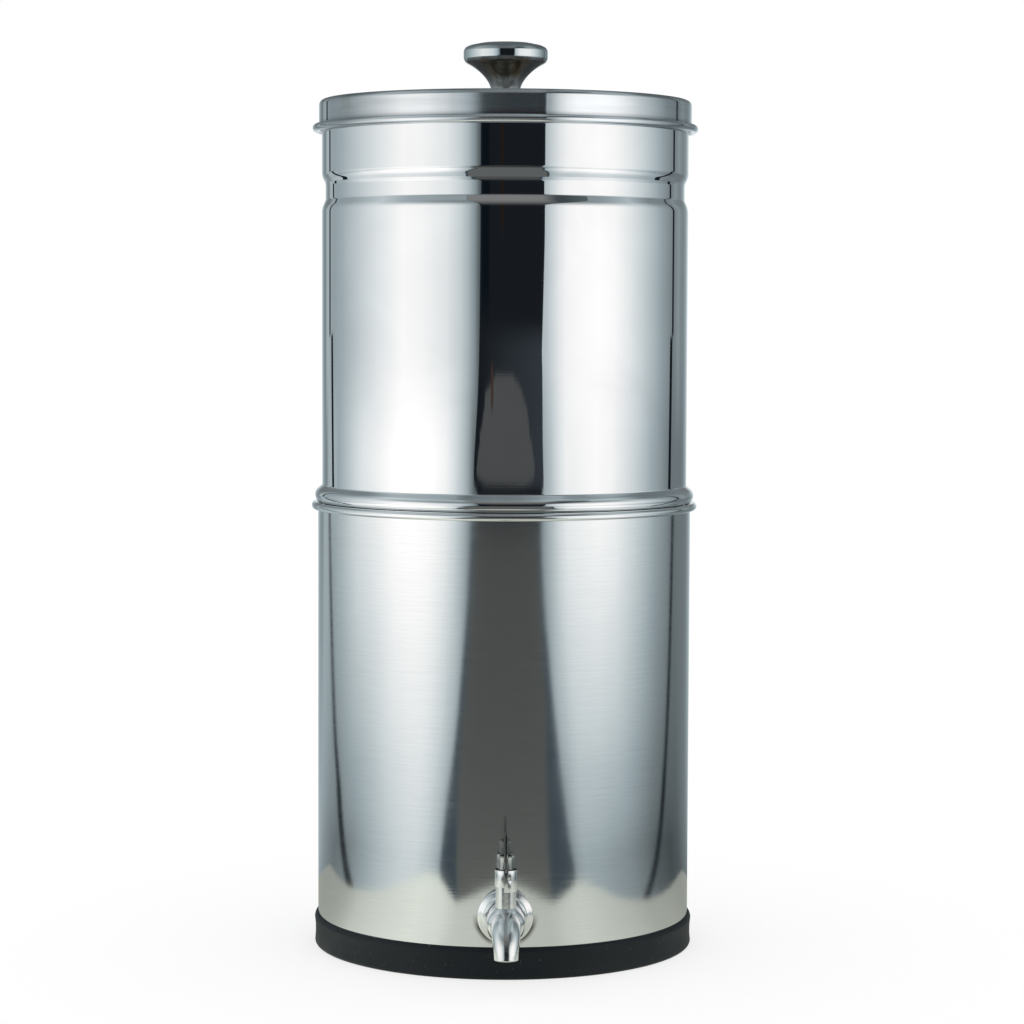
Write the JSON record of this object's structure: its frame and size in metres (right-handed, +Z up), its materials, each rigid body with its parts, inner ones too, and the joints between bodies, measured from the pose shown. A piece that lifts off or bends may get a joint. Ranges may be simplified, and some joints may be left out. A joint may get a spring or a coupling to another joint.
{
  "type": "gravity water filter with tap",
  "caption": "Gravity water filter: stacked stainless steel chambers, ceramic candles, lift-off lid with a knob, rubber base ring and a spring-closed lever tap.",
  "frame": {"origin": "centre of the base ring's underside, on the common axis of the chambers", "axes": "+Z up along the chambers' axis, -Y from the chambers towards the tap, +X to the right as seen from the tap's side"},
  "size_m": [0.2233, 0.2705, 0.5227],
  "materials": {
    "mirror_steel": "mirror-polished stainless steel",
    "satin_steel": "stainless steel with a fine brushing round the chamber",
    "tap_steel": "polished stainless steel",
    "plain_steel": "machined stainless steel",
    "black_rubber": "matt, slightly speckled",
    "grey_rubber": "matt",
    "silicone": "soft, matt",
    "ceramic": "unglazed, matt",
    "carbon": "pressed carbon block, matt",
    "white_plastic": "moulded, matt"
  },
  "bodies": {
    "base": {"base_ring": "black_rubber", "lower_chamber": "satin_steel", "tap_body": "tap_steel", "tap_outer_gasket": "grey_rubber", "tap_inner_gasket": "grey_rubber", "tap_washer": "plain_steel", "tap_nut": "plain_steel", "tap_gland": "tap_steel", "tap_stem_seal": "grey_rubber"},
    "upper": {"upper_chamber": "mirror_steel", "candle_shell_left": "ceramic", "candle_shell_right": "ceramic", "candle_core_left": "carbon", "candle_core_right": "carbon", "candle_base_left": "white_plastic", "candle_base_right": "white_plastic", "candle_washer_left": "silicone", "candle_washer_right": "silicone", "candle_wing_nut_left": "white_plastic", "candle_wing_nut_right": "white_plastic", "blank_plug_front": "white_plastic", "blank_plug_back": "white_plastic", "blank_washer_front": "silicone", "blank_washer_back": "silicone", "blank_nut_front": "white_plastic", "blank_nut_back": "white_plastic"},
    "lid": {"lid": "mirror_steel", "lid_knob": "mirror_steel", "lid_washer": "plain_steel", "lid_screw": "plain_steel"},
    "tap_head": {"tap_collar": "tap_steel"},
    "stem": {"tap_stem": "plain_steel", "tap_plunger": "grey_rubber", "tap_clevis": "tap_steel", "tap_lever_pin": "tap_steel", "tap_spring": "plain_steel"},
    "lever": {"tap_lever": "tap_steel"}
  },
  "joints": [
    {"name": "upper_lift", "type": "slide", "parent": "base", "child": "upper", "axis": [0, 0, 1], "range_m": [0, 0.1]},
    {"name": "lid_lift", "type": "slide", "parent": "upper", "child": "lid", "axis": [0, 0, 1], "range_m": [0, 0.06]},
    {"name": "head_swivel", "type": "hinge", "parent": "base", "child": "tap_head", "pos_m": [0, -0.132, 0.06], "axis": [0, 0, 1], "range_deg": [-90, 60]},
    {"name": "stem_lift", "type": "slide", "parent": "tap_head", "child": "stem", "axis": [0, 0, 1], "range_m": [0, 0.0036], "stiffness_N_per_m": 60, "springref_m": -0.004, "deforming": ["tap_spring"]},
    {"name": "lever_tilt", "type": "hinge", "parent": "stem", "child": "lever", "pos_m": [0, -0.132, 0.0706], "axis": [1, 0, 0], "range_deg": [0, 35]}
  ],
  "couplings": [
    {"joint": "lever_tilt", "follows": "stem_lift", "rad_per_m": 169.49}
  ]
}
